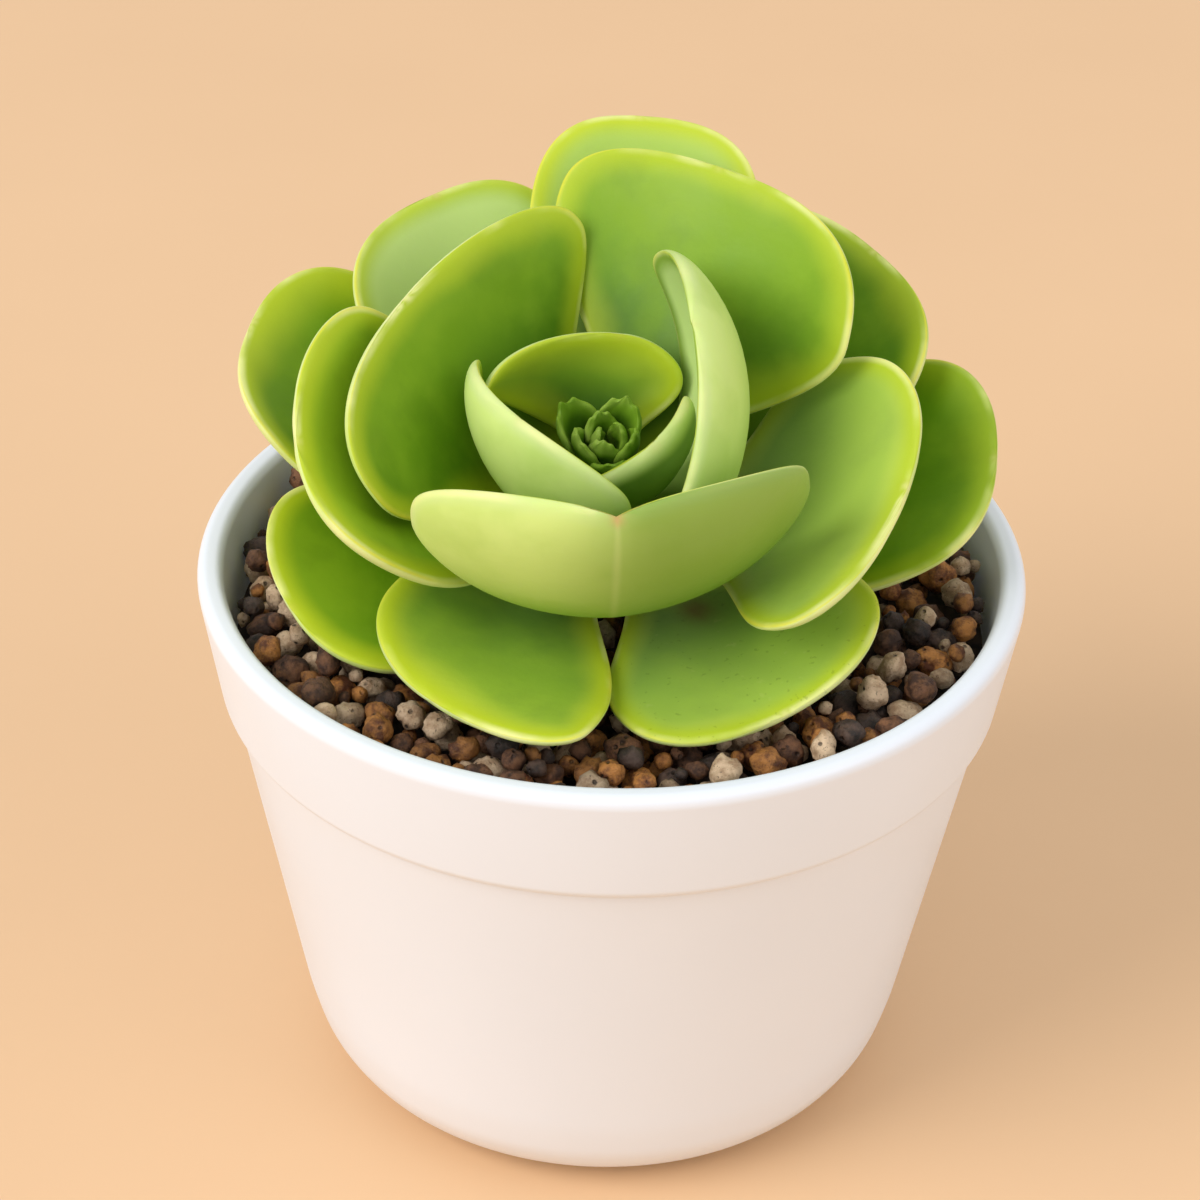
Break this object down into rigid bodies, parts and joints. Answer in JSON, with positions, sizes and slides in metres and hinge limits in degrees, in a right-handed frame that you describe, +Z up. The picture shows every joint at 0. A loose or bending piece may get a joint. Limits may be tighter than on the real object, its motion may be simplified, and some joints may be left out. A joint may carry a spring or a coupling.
{
  "type": "potted argentine echeveria",
  "caption": "Succulent rosette of broad, cupped, fleshy leaves round a heart of small young leaves, on a short stem in a round tapered pot filled with coarse round grit.",
  "frame": {"origin": "centre of the pot's flat base, on the surface that it stands on", "axes": "+Z up along the pot's axis; -Y towards the side that the picture shows as the front, where the rosette leans; +X to the right seen from there"},
  "size_m": [0.12, 0.12, 0.1327],
  "materials": {
    "leaf": "smooth waxy green leaf skin with a yellow-green margin, satin",
    "young_leaf": "smooth waxy darker green leaf skin, satin",
    "stem": "dull green-brown fleshy stem",
    "grit": "mixed beige, rust-brown and dark grey-brown round pitted grains, matt",
    "pot": "smooth white, satin"
  },
  "bodies": {
    "root": {"leaf_01": "leaf", "leaf_02": "leaf", "leaf_03": "leaf", "leaf_04": "leaf", "leaf_05": "leaf", "leaf_06": "leaf", "leaf_07": "leaf", "leaf_08": "leaf", "leaf_09": "leaf", "leaf_10": "leaf", "leaf_11": "leaf", "leaf_12": "leaf", "leaf_13": "leaf", "leaf_14": "leaf", "leaf_15": "leaf", "leaf_16": "leaf", "leaf_17": "leaf", "heart": "young_leaf", "stem": "stem", "grit": "grit", "pot": "pot"}
  },
  "joints": []
}
